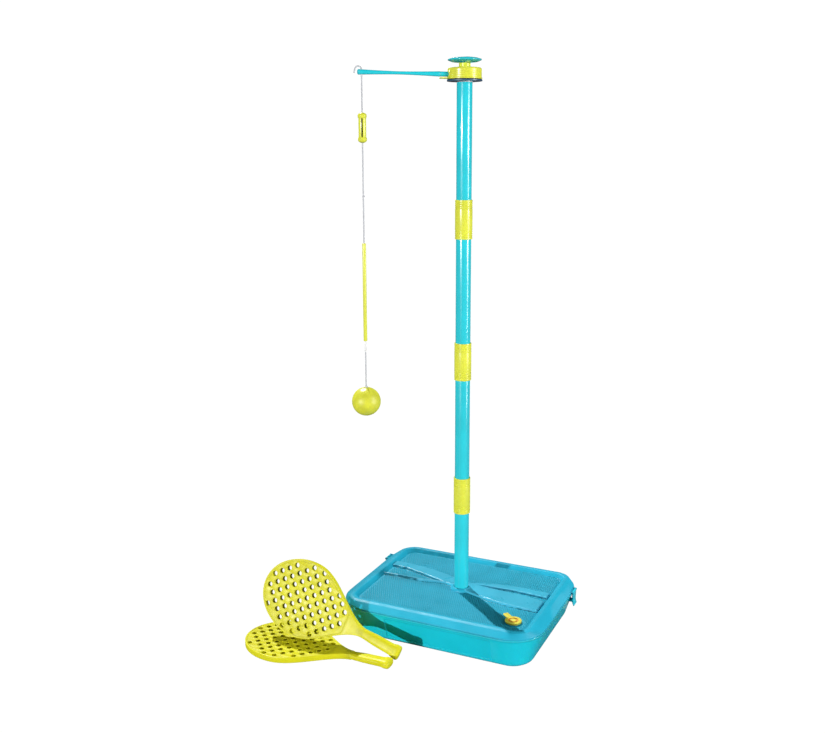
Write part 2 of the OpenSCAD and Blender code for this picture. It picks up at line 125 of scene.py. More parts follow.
def make_floor():
    bm = bmesh.new()
    bmesh.ops.create_grid(bm, x_segments=1, y_segments=1, size=30)
    mesh = bpy.data.meshes.new("floor")
    bm.to_mesh(mesh)
    bm.free()
    floor = bpy.data.objects.new("floor", mesh)
    bpy.context.scene.collection.objects.link(floor)
    paint = bpy.data.materials.new("floor_white")
    paint.use_nodes = True
    tree = paint.node_tree
    shader = tree.nodes["Principled BSDF"]
    shader.inputs["Base Color"].default_value = (0.16, 0.16, 0.165, 1)
    shader.inputs["Roughness"].default_value = 0.9
    shader.inputs["Specular IOR Level"].default_value = 0.0
    white = tree.nodes.new("ShaderNodeEmission")
    white.inputs["Strength"].default_value = 1.13
    path = tree.nodes.new("ShaderNodeLightPath")
    share = tree.nodes.new("ShaderNodeMath")
    share.operation = "MULTIPLY"
    share.inputs[1].default_value = 0.9
    mix = tree.nodes.new("ShaderNodeMixShader")
    tree.links.new(path.outputs["Is Camera Ray"], share.inputs[0])
    tree.links.new(share.outputs[0], mix.inputs["Fac"])
    tree.links.new(shader.outputs[0], mix.inputs[1])
    tree.links.new(white.outputs[0], mix.inputs[2])
    tree.links.new(mix.outputs[0], tree.nodes["Material Output"].inputs["Surface"])
    mesh.materials.append(paint)


# ---------- materials ----------

def material(name, build):
    """A new material whose nodes build(tree, shader) makes."""
    made = bpy.data.materials.new(name)
    made.use_nodes = True
    build(made.node_tree, made.node_tree.nodes["Principled BSDF"])
    return made


def node(tree, kind, **settings):
    made = tree.nodes.new("ShaderNode" + kind)
    for key, value in settings.items():
        if hasattr(made, key):
            setattr(made, key, value)
        else:
            made.inputs[key.replace("_", " ")].default_value = value
    return made


def noise_of(tree, scale, detail=3.0, rough=0.5):
    """Noise in the object's own space, so that it moves with the piece."""
    where = node(tree, "TexCoord")
    made = node(tree, "TexNoise", Scale=scale, Detail=detail, Roughness=rough)
    tree.links.new(where.outputs["Object"], made.inputs["Vector"])
    return made.outputs["Fac"]


def ranged(tree, value, low, high, start=0.3, end=0.7):
    made = node(tree, "MapRange")
    made.inputs["From Min"].default_value = start
    made.inputs["From Max"].default_value = end
    made.inputs["To Min"].default_value = low
    made.inputs["To Max"].default_value = high
    tree.links.new(value, made.inputs["Value"])
    return made.outputs["Result"]


def blended(tree, factor, a, b):
    """Colours a and b, each a colour or an output, mixed by factor, a number or an output."""
    made = node(tree, "Mix", data_type="RGBA", blend_type="MIX")
    for socket, value in ((made.inputs[0], factor), (made.inputs[6], a), (made.inputs[7], b)):
        if isinstance(value, bpy.types.NodeSocket):
            tree.links.new(value, socket)
        elif isinstance(value, tuple):
            socket.default_value = (*value, 1)
        else:
            socket.default_value = value
    return made.outputs[2]


def edges_of(tree, low=0.505, high=0.56):
    """1 on worn convex edges, 0 on flat faces."""
    geometry = node(tree, "NewGeometry")
    return ranged(tree, geometry.outputs["Pointiness"], 0.0, 1.0, low, high)


def scaled_colour(colour, factor):
    return tuple(min(1.0, c * factor) for c in colour)


def bumped(tree, shader, height, strength, distance):
    made = node(tree, "Bump", Strength=strength, Distance=distance)
    tree.links.new(height, made.inputs["Height"])
    tree.links.new(made.outputs["Normal"], shader.inputs["Normal"])


def moulded(name, colour, rough=0.3, shade=0.10, grain=2600, bump=0.12, coat=0.0, through=0.0, wear=0.25,
            hollow_shade=0.0, shine=0.5):
    """Injection-moulded plastic: cloudy pigment, rubbed edges, fine mould grain and uneven gloss.

    An optional painted shade darkens the bottom of a fine relief, and through lets light into the plastic.
    """
    def build(tree, shader):
        cloud = ranged(tree, noise_of(tree, 14.0, 4.0), 0.0, 1.0)
        flow = ranged(tree, noise_of(tree, 55.0, 2.0), 0.0, 0.35)
        base = blended(tree, cloud, scaled_colour(colour, 1 - shade), scaled_colour(colour, 1 + shade))
        base = blended(tree, flow, base, scaled_colour(colour, 1 - shade))
        light = tuple(c + (1 - c) * 0.12 for c in colour)
        worn = node(tree, "Math", operation="MULTIPLY")
        tree.links.new(edges_of(tree), worn.inputs[0])
        worn.inputs[1].default_value = wear
        base = blended(tree, worn.outputs[0], base, light)
        if hollow_shade:
            # Painted shade: a darker colour at the bottom of the relief, where the surface is least pointy
            hollow_shade_mask = ranged(tree, node(tree, "NewGeometry").outputs["Pointiness"], hollow_shade, 0.0, 0.44, 0.505)
            base = blended(tree, hollow_shade_mask, base, scaled_colour(colour, 0.35))
        tree.links.new(base, shader.inputs["Base Color"])
        gloss = ranged(tree, noise_of(tree, 30.0, 5.0, 0.6), rough * 0.8, rough * 1.3)
        tree.links.new(gloss, shader.inputs["Roughness"])
        bumped(tree, shader, noise_of(tree, grain, 2.0), bump, 0.0002)
        shader.inputs["IOR"].default_value = 1.49
        shader.inputs["Specular IOR Level"].default_value = shine
        shader.inputs["Coat Weight"].default_value = coat
        shader.inputs["Coat Roughness"].default_value = 0.12
        if through:
            shader.inputs["Subsurface Weight"].default_value = through
            shader.inputs["Subsurface Radius"].default_value = (1.0, 0.8, 0.25)
            shader.inputs["Subsurface Scale"].default_value = 0.006
    return material(name, build)


def tinting(made, colour, share):
    """Lets this share of a lamp's light through a thin translucent piece, in its own colour."""
    tree = made.node_tree
    out = tree.nodes["Material Output"]
    surface = out.inputs["Surface"].links[0].from_socket
    path = node(tree, "LightPath")
    weight = node(tree, "Math", operation="MULTIPLY")
    tree.links.new(path.outputs["Is Shadow Ray"], weight.inputs[0])
    weight.inputs[1].default_value = share
    clear = node(tree, "BsdfTransparent")
    clear.inputs["Color"].default_value = (*colour, 1)
    mix = node(tree, "MixShader")
    tree.links.new(weight.outputs[0], mix.inputs["Fac"])
    tree.links.new(surface, mix.inputs[1])
    tree.links.new(clear.outputs[0], mix.inputs[2])
    tree.links.new(mix.outputs[0], out.inputs["Surface"])
    return made


def braided(name, colour):
    """White braided cord: two crossing helices of strands, a darker tone in the low bands of their relief,
    and patches of soil.
    """
    def build(tree, shader):
        where = node(tree, "TexCoord")
        wave = node(tree, "TexWave", wave_type="BANDS", bands_direction="DIAGONAL", Scale=900.0,
                    Distortion=1.5)
        tree.links.new(where.outputs["Object"], wave.inputs["Vector"])
        soil = ranged(tree, noise_of(tree, 60.0, 4.0), 0.0, 0.5)
        base = blended(tree, wave.outputs["Fac"], scaled_colour(colour, 0.86), colour)
        base = blended(tree, soil, base, scaled_colour(colour, 0.92))
        tree.links.new(base, shader.inputs["Base Color"])
        shader.inputs["Roughness"].default_value = 0.75
        shader.inputs["Sheen Weight"].default_value = 0.3
        bumped(tree, shader, wave.outputs["Fac"], 0.5, 0.0002)
    return material(name, build)


def plated(name):
    def build(tree, shader):
        tone = ranged(tree, noise_of(tree, 400.0, 3.0), 0.0, 1.0)
        base = blended(tree, tone, (0.58, 0.58, 0.60), (0.74, 0.74, 0.76))
        tree.links.new(base, shader.inputs["Base Color"])
        tree.links.new(ranged(tree, noise_of(tree, 900.0, 2.0), 0.22, 0.40), shader.inputs["Roughness"])
        shader.inputs["Metallic"].default_value = 1.0
    return material(name, build)


def rubbery(name, colour):
    def build(tree, shader):
        dust = ranged(tree, noise_of(tree, 120.0, 5.0, 0.65), 0.0, 0.4)
        tree.links.new(blended(tree, dust, colour, scaled_colour(colour, 2.2)), shader.inputs["Base Color"])
        tree.links.new(ranged(tree, noise_of(tree, 80.0, 3.0), 0.6, 0.85), shader.inputs["Roughness"])
        bumped(tree, shader, noise_of(tree, 3000.0, 2.0), 0.3, 0.0002)
    return material(name, build)


def foam_skin(name, colour):
    """Soft skinned foam of the ball: fine pores and a broad, dull shine."""
    def build(tree, shader):
        where = node(tree, "TexCoord")
        pores = node(tree, "TexVoronoi", Scale=520.0)
        tree.links.new(where.outputs["Object"], pores.inputs["Vector"])
        pits = ranged(tree, pores.outputs["Distance"], 0.0, 1.0, 0.0, 0.4)
        cloud = ranged(tree, noise_of(tree, 60.0, 4.0), 0.0, 1.0)
        base = blended(tree, cloud, scaled_colour(colour, 0.90), scaled_colour(colour, 1.08))
        base = blended(tree, pits, scaled_colour(colour, 0.8), base)
        tree.links.new(base, shader.inputs["Base Color"])
        tree.links.new(ranged(tree, noise_of(tree, 40.0, 3.0), 0.34, 0.5), shader.inputs["Roughness"])
        bumped(tree, shader, pits, 0.25, 0.0003)
        shader.inputs["Subsurface Weight"].default_value = 0.15
        shader.inputs["Subsurface Radius"].default_value = (1.0, 0.8, 0.25)
        shader.inputs["Subsurface Scale"].default_value = 0.004
    return material(name, build)


YELLOW = (0.71, 0.73, 0.055)
TURQUOISE = (0.012, 0.57, 0.66)
BATS = (0.72, 0.69, 0.012)
LOOKS = {
    "tub_blue": moulded("tub_plastic", (0.008, 0.60, 0.73), rough=0.18, coat=0.2, through=0.1),
    # The lid's grained panel carries painted shade at the bottom of its dots
    "lid_blue": moulded("lid_plastic", (0.016, 0.42, 0.60), rough=0.42, grain=1800, bump=0.25, hollow_shade=0.75,
                        shine=0.22),
    "pole_blue": moulded("pole_plastic", TURQUOISE, rough=0.2, coat=0.3, bump=0.03, shine=0.5),
    "yellow": moulded("yellow_plastic", YELLOW, rough=0.26, through=0.12),
    "plug_yellow": moulded("plug_plastic", (0.76, 0.67, 0.05), rough=0.45, through=0.15),
    "dark_blue": moulded("dark_plastic", (0.004, 0.055, 0.13), rough=0.4),
    "white_plastic": moulded("white_acetal", (0.80, 0.80, 0.78), rough=0.35, shade=0.04),
    # Black rubber; on the cord adjuster's core its black also serves as painted shade inside the barrel's
    # slots
    "rubber": rubbery("black_rubber", (0.035, 0.036, 0.030)),
    "steel": plated("plated_steel"),
    "cord": braided("white_cord", (0.56, 0.57, 0.60)),
    "ball_yellow": foam_skin("ball_foam", (0.69, 0.70, 0.045)),
    "bat_yellow": tinting(moulded("bat_plastic", BATS, rough=0.36, through=0.2, shine=0.18, wear=0.1),
                          (0.72, 0.66, 0.0), 0.3),
}
LID_SMOOTH = moulded("lid_smooth", (0.055, 0.47, 0.66), rough=0.3, grain=1800, bump=0.15, shine=0.4)
PLUG_CENTRE = moulded("plug_centre", (0.78, 0.42, 0.04), rough=0.5)


# ---------- shapes ----------

def arc(centre, radius, start, end, steps):
    turns = [math.radians(start + (end - start) * i / steps) for i in range(steps + 1)]
    return [(centre[0] + radius * math.cos(t), centre[1] + radius * math.sin(t)) for t in turns]


def rounded(points, closed=True, steps=4):
    """Outline through (x, y, fillet radius) corners, with each corner turned into a curve."""
    made = []
    count = len(points)
    for i, (x, y, radius) in enumerate(points):
        if radius <= 0 or (not closed and i in (0, count - 1)):
            made.append((x, y))
            continue
        here = Vector((x, y))
        before = Vector(points[i - 1][:2]) - here
        after = Vector(points[(i + 1) % count][:2]) - here
        half = before.angle(after) / 2
        cut = min(radius / max(math.tan(half), 0.01), 0.49 * before.length, 0.49 * after.length)
        start, end = here + before.normalized() * cut, here + after.normalized() * cut
        for k in range(steps + 1):
            t = k / steps
            made.append(tuple((1 - t) ** 2 * start + 2 * t * (1 - t) * here + t * t * end))
    return made


class Shape:
    """Closed surfaces gathered into one mesh, in millimetres."""

    def __init__(self):
        self.verts = []
        self.faces = []

    def add(self, verts, faces, place=Matrix()):
        start = len(self.verts)
        self.verts += [tuple(place @ Vector(v)) for v in verts]
        self.faces += [[start + i for i in face] for face in faces]

    def loft(self, rings, ring_closed=False, place=Matrix()):
        """Skin over rings of the same count of points: capped, or joined end to end."""
        count = len(rings[0])
        faces = []
        spans = len(rings) if ring_closed else len(rings) - 1
        for i in range(spans):
            a, b = i * count, (i + 1) % len(rings) * count
            faces += [[a + k, a + (k + 1) % count, b + (k + 1) % count, b + k] for k in range(count)]
        if not ring_closed:
            faces.append(list(range(count))[::-1])
            faces.append([spans * count + k for k in range(count)])
        self.add([v for ring in rings for v in ring], faces, place)

    def lathe(self, profile, closed=False, place=Matrix(), sides=72):
        """Profile of (radius, height) turned round the vertical axis."""
        turns = [2 * math.pi * k / sides for k in range(sides)]
        rings = [[(r * math.cos(t), r * math.sin(t), z) for t in turns] for r, z in profile]
        self.loft(rings, closed, place)

    def tube(self, outer, inner, low, high, edge):
        corners = [(outer, low, edge), (outer, high, edge), (inner, high, edge), (inner, low, edge)]
        self.lathe(rounded(corners, steps=3), True)

    def plate(self, outlines, low, high, edge=0.5, place=Matrix()):
        """Flat plate with bevelled edges; the outlines after the first are its holes."""
        curve = bpy.data.curves.new("plate", "CURVE")
        curve.dimensions = "2D"
        curve.fill_mode = "BOTH"
        curve.extrude = (high - low) / 2 - edge
        curve.bevel_depth = edge
        curve.bevel_resolution = 2
        curve.offset = -edge
        for outline in outlines:
            spline = curve.splines.new("POLY")
            spline.points.add(len(outline) - 1)
            for point, (x, y) in zip(spline.points, outline):
                point.co = (x, y, 0, 1)
            spline.use_cyclic_u = True
        holder = bpy.data.objects.new("plate", curve)
        mesh = bpy.data.meshes.new_from_object(holder)
        bm = bmesh.new()
        bm.from_mesh(mesh)
        bmesh.ops.remove_doubles(bm, verts=bm.verts, dist=1e-4)
        bm.verts.index_update()
        middle = (low + high) / 2
        verts = [(v.co.x, v.co.y, v.co.z + middle) for v in bm.verts]
        faces = [[v.index for v in f.verts] for f in bm.faces]
        bm.free()
        bpy.data.objects.remove(holder)
        bpy.data.curves.remove(curve)
        bpy.data.meshes.remove(mesh)
        self.add(verts, faces, place)

    def piece(self, name, *nodes, look=None, sharp=35):
        """The gathered surfaces as an object that stands for CAD nodes and rides on their body."""
        mesh = bpy.data.meshes.new(name)
        mesh.from_pydata([[c * MM for c in v] for v in self.verts], [], self.faces)
        mesh.validate()
        bm = bmesh.new()
        bm.from_mesh(mesh)
        bmesh.ops.recalc_face_normals(bm, faces=bm.faces)
        bm.to_mesh(mesh)
        bm.free()
        mesh.shade_smooth()
        mesh.set_sharp_from_angle(angle=math.radians(sharp))
        made = bpy.data.objects.new(name, mesh)
        bpy.context.scene.collection.objects.link(made)
        slot = NODE_SLOT[nodes[0]]
        mesh.materials.append(look or LOOKS[slot])
        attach(made, NODE_BODY[nodes[0]])
        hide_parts(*nodes)
        return made


def disc_outline(radius, count, centre):
    return arc(centre, radius, 0, 360 * (count - 1) / count, count - 1)


def turned(angle, axis="Z"):
    return Matrix.Rotation(math.radians(angle), 4, axis)


def moved(x, y, z):
    return Matrix.Translation((x, y, z))


# ---------- cords ----------

def tether_at():
    """The tether's axis, in millimetres."""
    low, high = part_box("tether_cord_middle")
    return (low.x + high.x) / 2 / MM, (low.y + high.y) / 2 / MM


TETHER_X, TETHER_Y = tether_at()
CORD_D = 3.0
PIVOT_END_R = 1.9
CORD_TAIL = [
    (-152.5, -156.3, 1188), (-152.5, -156.3, 1196), (-153, -157, 1200), (-155, -158, 1203),
    (-158, -160, 1204), (-161, -162, 1203), (-163, -163, 1200), (-164, -164, 1196), (-165, -164.5, 1191),
]


def smooth_route(points, per_span=6):
    """Catmull-Rom curve through the points."""
    p = [Vector(v) for v in points]
    p = [2 * p[0] - p[1], *p, 2 * p[-1] - p[-2]]
    route = []
    for i in range(1, len(p) - 2):
        for k in range(per_span):
            t = k / per_span
            route.append(0.5 * ((2 * p[i]) + (p[i + 1] - p[i - 1]) * t
                                + (2 * p[i - 1] - 5 * p[i] + 4 * p[i + 1] - p[i + 2]) * t * t
                                + (3 * p[i] - p[i - 1] - 3 * p[i + 1] + p[i + 2]) * t ** 3))
    return route + [p[-2]]


def braid(shape, route, diameter, sides=16, lay=7.0):
    """Cord with the relief of a braid: two sets of strands that cross on a round core."""
    rings = []
    along = 0.0
    side = Vector((1, 0, 0))
    for i, here in enumerate(route):
        ahead = (route[min(i + 1, len(route) - 1)] - route[max(i - 1, 0)]).normalized()
        side = (side - ahead * side.dot(ahead)).normalized()
        other = ahead.cross(side)
        if i:
            along += (here - route[i - 1]).length
        ring = []
        for k in range(sides):
            t = 2 * math.pi * k / sides
            wind = 2 * math.pi * along / lay
            strand = max(math.cos(4 * (t - wind)), math.cos(4 * (t + wind)))
            radius = diameter / 2 * (0.95 + 0.06 * strand)
            ring.append(here + side * (radius * math.cos(t)) + other * (radius * math.sin(t)))
        rings.append(ring)
    shape.loft(rings)


def cord_piece(name, cad_node, route, ball_end=None):
    shape = Shape()
    braid(shape, route, CORD_D)
    if ball_end:
        shape.lathe(arc((0, 0), ball_end, -89, 89, 12), place=Matrix.Translation(route[0]), sides=24)
    made = shape.piece(name, cad_node)


def hanging(high, low, spacing=0.6):
    count = max(2, round((high - low) / spacing))
    return [Vector((TETHER_X, TETHER_Y, high + (low - high) * i / count)) for i in range(count + 1)]


def cad_z(name):
    """Lowest and highest point of a CAD node, in millimetres."""
    low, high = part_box(name)
    return low.z / MM, high.z / MM


def make_cords():
    knot_low, knot_high = cad_z("tether_knot")
    ferrule_high = cad_z("ferrule")[1]
    swing_z = cad_z("tether_cord_upper")[1] - PIVOT_END_R
    lower = cad_z("tether_cord_lower")
    cord_piece("cord_tail_braided", "cord_tail", smooth_route(CORD_TAIL))
    cord_piece("tether_upper_braided", "tether_cord_upper", hanging(swing_z, knot_high + 0.1),
               ball_end=PIVOT_END_R)
    cord_piece("tether_middle_braided", "tether_cord_middle", hanging(knot_low - 0.2, ferrule_high))
    cord_piece("tether_lower_braided", "tether_cord_lower", hanging(lower[1], lower[0]))


def knot(name, cad_node, centre, size):
    """Overhand knot: a trefoil of cord drawn tight."""
    route = []
    for k in range(73):
        t = 2 * math.pi * k / 72
        x, y = math.sin(t) + 2 * math.sin(2 * t), math.cos(t) - 2 * math.cos(2 * t)
        route.append(Vector((x * size / 4.6, y * size / 4.6, -math.sin(3 * t) * size / 2.2)))
    shape = Shape()
    sides = 10
    rings = []
    side = Vector((0, 0, 1))
    for i, here in enumerate(route[:-1]):
        ahead = (route[i + 1] - route[i - 1 if i else -2]).normalized()
        side = (side - ahead * side.dot(ahead)).normalized()
        other = ahead.cross(side)
        turns = [2 * math.pi * k / sides for k in range(sides)]
        rings.append([here + 1.25 * (side * math.cos(t) + other * math.sin(t)) for t in turns])
    shape.loft(rings, True, Matrix.Translation(centre))
    shape.piece(name, cad_node, sharp=60)


make_camera()
make_cords()
make_floor()
make_world()
sun("key", 139.6, 50, 3.3, 1.0)
sun("front_left", -107, 5, 2.6, 1.5)
sun("right", -4, 3, 1.35, 12)
softbox("front_left_box", -97, 6, 2.6, (0.2, 2.4), 8)
softbox("right_box", 2, 8, 2.2, (0.3, 2.2), 36)


# ---------- case ----------

# Case outline: length, width and corner radius at each level
TUB_FOOT = (414.0, 316.0, 46.0)
SEAM = (460.0, 357.0, 76.0)
FOOT_Z, SEAM_Z = 1.2, 70.0
WALL = 3.0
FRONT_X = [-150, -130, -109, -107.5, -106, -104, -80, -50, -20, 10, 40, 70, 100, 130, 132, 133.5, 135, 148]
GRIP_X = (-107.5, 133.5)
GRIP_Z = (9.0, 60.0)
GRIP_DEPTH = 2.0
PANEL_Z = SEAM_Z + 6
STRAP_H = 5.0
POLE_HOLE_R, BOSS_R = 16.5, 19.5
FILLER_HOLE_R = 16.6
PLUG_TAB_TURN = 137
LATCH_GAP, EAR_HALF = 0.4, 1.5


def mixed(a, b, t):
    return tuple(x + (y - x) * t for x, y in zip(a, b))


def grown(size, by):
    return size[0] + 2 * by, size[1] + 2 * by, max(size[2] + by, 2.0)


def case_ring(size, z, corner_steps=12):
    """Rounded rectangle at height z, counter-clockwise from the front left, always of the same count."""
    length, width, radius = size
    hx, hy = length / 2 - radius, width / 2 - radius
    shares = (-0.6, -0.2, 0.2, 0.6)
    ring = [(x, -width / 2) for x in FRONT_X]
    ring += arc((hx, -hy), radius, -90, 0, corner_steps)
    ring += [(length / 2, hy * s) for s in shares]
    ring += arc((hx, hy), radius, 0, 90, corner_steps)
    ring += [(-hx * s, width / 2) for s in (-0.75, -0.4, 0.0, 0.4, 0.75)]
    ring += arc((-hx, hy), radius, 90, 180, corner_steps)
    ring += [(-length / 2, -hy * s) for s in shares]
    ring += arc((-hx, -hy), radius, 180, 270, corner_steps)
    return [(x, y, z) for x, y in ring]


def step_up(value, start, width):
    t = min(1.0, max(0.0, (value - start) / width))
    return t * t * (3 - 2 * t)


def tub_ring(z, inset=0.0):
    size = grown(mixed(TUB_FOOT, SEAM, (z - FOOT_Z) / (SEAM_Z - FOOT_Z)), -inset)
    return case_ring(size, z)


def with_grip(ring):
    """Presses the shallow hand recess into the front edge of a ring."""
    z = ring[0][2]
    deep = GRIP_DEPTH * step_up(z, GRIP_Z[0] - 1, 1.5) * (1 - step_up(z, GRIP_Z[1], 1.5))
    made = []
    for i, (x, y, _) in enumerate(ring):
        inside = step_up(x, GRIP_X[0] - 1, 1.1) * (1 - step_up(x, GRIP_X[1], 1.1))
        made.append((x, y + (deep * inside if i < len(FRONT_X) else 0), z))
    return made


def make_tub():
    shape = Shape()
    heel = 8.0
    rings = []
    for k in range(7):
        t = math.radians(15 * k)
        rings.append(tub_ring(FOOT_Z + heel * (1 - math.cos(t)), heel * (1 - math.sin(t))))
    levels = [10.5, 16, 24, 32, 40, 48, 56, 59.9, 60.7, 61.6, 63, 65.4]
    rings += [with_grip(tub_ring(z)) for z in levels]
    lip = 1.0
    lip_section = [(66.0, 0.6), (66.6, 1.0), (69.3, 1.0), (69.9, 0.5)]
    rings += [tub_ring(z, -share * lip) for z, share in lip_section]
    rings += [tub_ring(SEAM_Z, 0.4), tub_ring(SEAM_Z, WALL - 0.4), tub_ring(SEAM_Z - 0.5, WALL)]
    rings += [tub_ring(67.5, WALL), tub_ring(67.5, WALL + 5), tub_ring(65, WALL + 5), tub_ring(65, WALL)]
    rings += [tub_ring(z, WALL) for z in (50, 30, 12)]
    for k in range(1, 6):
        t = math.radians(18 * k)
        rings.append(tub_ring(12 - 7.8 * math.sin(t), WALL + 7.8 * (1 - math.cos(t))))
    shape.loft(rings)
    ring_sizes = [(7.0, FOOT_Z + 0.5), (7.0, 0.3), (7.4, 0.0), (11.6, 0.0), (12.0, 0.3), (12.0, FOOT_Z + 0.5)]
    shape.loft([case_ring(grown(TUB_FOOT, -inset), z) for inset, z in ring_sizes], True)
    shape.lathe([(0.5, 0.0), (29.4, 0.0), (30.0, 0.5), (30.0, FOOT_Z + 1), (0.5, FOOT_Z + 1)], sides=64)
    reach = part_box("latch_right")[0].x / MM - 0.3
    middle = sum(latch_span()) / 2
    wall_x = TUB_FOOT[0] / 2
    for side in (1, -1):
        outline = [(wall_x, middle - 7), (reach, middle - 7), (reach, middle + 7), (wall_x, middle + 7)]
        shape.plate([[(side * x, y) for x, y in outline][::side]], 49, 53, 0.4)
    shape.piece("case_tub_moulding", "case_tub", sharp=40)


# Lid section from the seam inwards: distance in from the seam, height, fillet radius
LID_SECTION = [
    (0.0, 70.4, 0.5), (0.0, 73.0, 1.0), (16.0, 82.4, 6), (22.3, 84.6, 4.5), (29.0, 84.4, 4),
    (36.4, 76.0, 2.5), (38.5, 75.6, 0), (38.5, 73.2, 0), (34.5, 73.2, 1), (27.5, 80.6, 1.5),
    (23.0, 81.2, 1.5), (17.5, 78.8, 2), (3.0, 72.0, 0.5), (3.0, 70.4, 0.3),
]
LID_SIZES = [
    (0.0, SEAM), (16.5, (427.0, 328.0, 38.0)), (22.0, (416.0, 317.0, 32.0)), (28.5, (403.0, 304.0, 26.0)),
    (36.5, (387.0, 288.0, 20.0)), (40.0, (380.0, 281.0, 17.0)),
]
# The strap's two bands: x, lower edge, upper edge
STRAP_MAIN = [
    (-205, 46, 72), (-158, 44, 71), (-96, 26, 62), (-55, 12, 50), (-16, 0, 36), (7, -13, 26),
    (41, -23, 24), (80, -34, 21), (112, -40, 18), (150, -43, 16), (192, -44, 8),
]
STRAP_CROSS = [
    (-202, -3, 3), (-96, -2, 7), (-55, 7, 12), (0, 10, 26), (41, 27, 40), (80, 30, 50), (112, 32, 54),
    (192, 27, 52),
]
GRAIN_PITCH = 5.0
GRAIN_H = 1.6
GRID = 1.25


def lid_size(inset):
    for (a, size_a), (b, size_b) in zip(LID_SIZES, LID_SIZES[1:]):
        if inset <= b:
            return mixed(size_a, size_b, (inset - a) / (b - a))
    return LID_SIZES[-1][1]


def inside_case(x, y, size):
    """Distance from a point to a rounded rectangle, negative inside it."""
    length, width, radius = size
    dx, dy = abs(x) - (length / 2 - radius), abs(y) - (width / 2 - radius)
    return math.hypot(max(dx, 0), max(dy, 0)) + min(max(dx, dy), 0) - radius


def band_edges(band, x):
    """A band's lower and upper edge at x, and how much nearer they are across the band."""
    for (x0, low0, high0), (x1, low1, high1) in zip(band, band[1:]):
        if x0 <= x <= x1:
            t = (x - x0) / (x1 - x0)
            slope = max(abs(low1 - low0), abs(high1 - high0)) / (x1 - x0)
            return low0 + (low1 - low0) * t, high0 + (high1 - high0) * t, 1 / math.hypot(1, slope)


def in_band(band, x, y):
    """How far a point lies inside a band, in millimetres; negative outside."""
    low, high, lean = band_edges(band, min(max(x, band[0][0]), band[-1][0]))
    return min((y - low) * lean, (high - y) * lean, band[-1][0] - x, x - band[0][0])


def panel_height(x, y):
    strap = max(in_band(STRAP_MAIN, x, y), in_band(STRAP_CROSS, x, y))
    saddle = 1.4 * (1 - step_up(math.hypot(x, y), 22, 9))
    raised = STRAP_H * step_up(strap, -1.2, 3.0)
    clear = 1 - step_up(strap, -4.5, 3.0)
    border = -inside_case(x, y, lid_size(36.5))
    clear *= step_up(border, 2.0, 3.0)
    filler = FILLER_X - x, FILLER_Y - y
    clear *= step_up(math.hypot(*filler), 21, 4)
    u, v = (x + 0.55 * y) / GRAIN_PITCH, (x - 0.55 * y) / GRAIN_PITCH
    dots = abs(math.sin(math.pi * u) * math.sin(math.pi * v))
    return PANEL_Z + raised + saddle * step_up(strap, -4, 4) + GRAIN_H * clear * dots


filler_low, filler_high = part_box("filler_neck")
FILLER_X = (filler_low.x + filler_high.x) / 2 / MM
FILLER_Y = (filler_low.y + filler_high.y) / 2 / MM


def make_panel(shape):
    """The panel as a closed slab whose top carries the strap and the fine diamond grain."""
    size = lid_size(35.0)
    count_x, count_y = round(size[0] / GRID), round(size[1] / GRID)
    index, tops, faces = {}, [], []

    def at(i, j):
        if (i, j) not in index:
            x, y = (i - count_x / 2) * GRID, (j - count_y / 2) * GRID
            index[i, j] = len(tops)
            tops.append((x, y, panel_height(x, y)))
        return index[i, j]

    for i in range(count_x):
        for j in range(count_y):
            x, y = (i + 0.5 - count_x / 2) * GRID, (j + 0.5 - count_y / 2) * GRID
            if inside_case(x, y, size) > 0 or math.hypot(x, y) < BOSS_R:
                continue
            if math.hypot(x - FILLER_X, y - FILLER_Y) < FILLER_HOLE_R:
                continue
            faces.append([at(i, j), at(i + 1, j), at(i + 1, j + 1), at(i, j + 1)])
    count = len(tops)
    floor = [(x, y, PANEL_Z - WALL) for x, y, _ in tops]
    under = [[k + count for k in reversed(face)] for face in faces]
    used = {}
    for face in faces:
        for a, b in zip(face, face[1:] + face[:1]):
            used[a, b] = True
    walls = [[b, a, a + count, b + count] for a, b in used if (b, a) not in used]
    shape.add(tops + floor, faces + under + walls)


def make_lid():
    shape = Shape()
    section = rounded(LID_SECTION, steps=5)
    shape.loft([case_ring(lid_size(inset), z) for inset, z in section], True)
    make_panel(shape)
    boss = [(POLE_HOLE_R, 73, 0.3), (POLE_HOLE_R, 83.6, 1.0), (BOSS_R, 83.6, 1.6), (23.0, 80.5, 1.5),
            (24.0, 75, 0), (22.0, 73, 0.3)]
    shape.lathe(rounded(boss), True)
    latch_low_y, latch_high_y = latch_span()
    pin_x, pin_z = latch_pivot()
    ear = rounded([(-9.0, 2.1, 0), (0, 2.6, 2.4), (2.6, 2.6, 2.6), (2.6, -2.6, 2.6), (-3.0, -2.3, 1.5),
                   (-9.0, -2.1, 0)])
    for side in (1, -1):
        for y in (latch_low_y - LATCH_GAP - EAR_HALF, latch_high_y + LATCH_GAP + EAR_HALF):
            place = Matrix.Translation((side * pin_x, y, pin_z)) @ turned(90, "X")
            shape.plate([[(side * px, pz) for px, pz in ear][::side]], -EAR_HALF, EAR_HALF, 0.4, place)
    lid = shape.piece("case_lid_moulding", "case_lid", sharp=50)
    lid.data.materials.append(LID_SMOOTH)
    for face in lid.data.polygons:
        x, y = face.center.x / MM, face.center.y / MM
        if face.center.z / MM > PANEL_Z + 1 and inside_case(x, y, lid_size(37.5)) < 0:
            if max(in_band(STRAP_MAIN, x, y), in_band(STRAP_CROSS, x, y)) > -0.6:
                face.material_index = 1


def latch_span():
    """Where a latch begins and ends along its wall."""
    low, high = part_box("latch_right")
    return low.y / MM, high.y / MM


def latch_pivot():
    """Distance of the latch pins from the middle, and their height."""
    low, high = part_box("latch_pins")
    radius = (high.z - low.z) / 2
    return (high.x - radius) / MM, (low.z + high.z) / 2 / MM


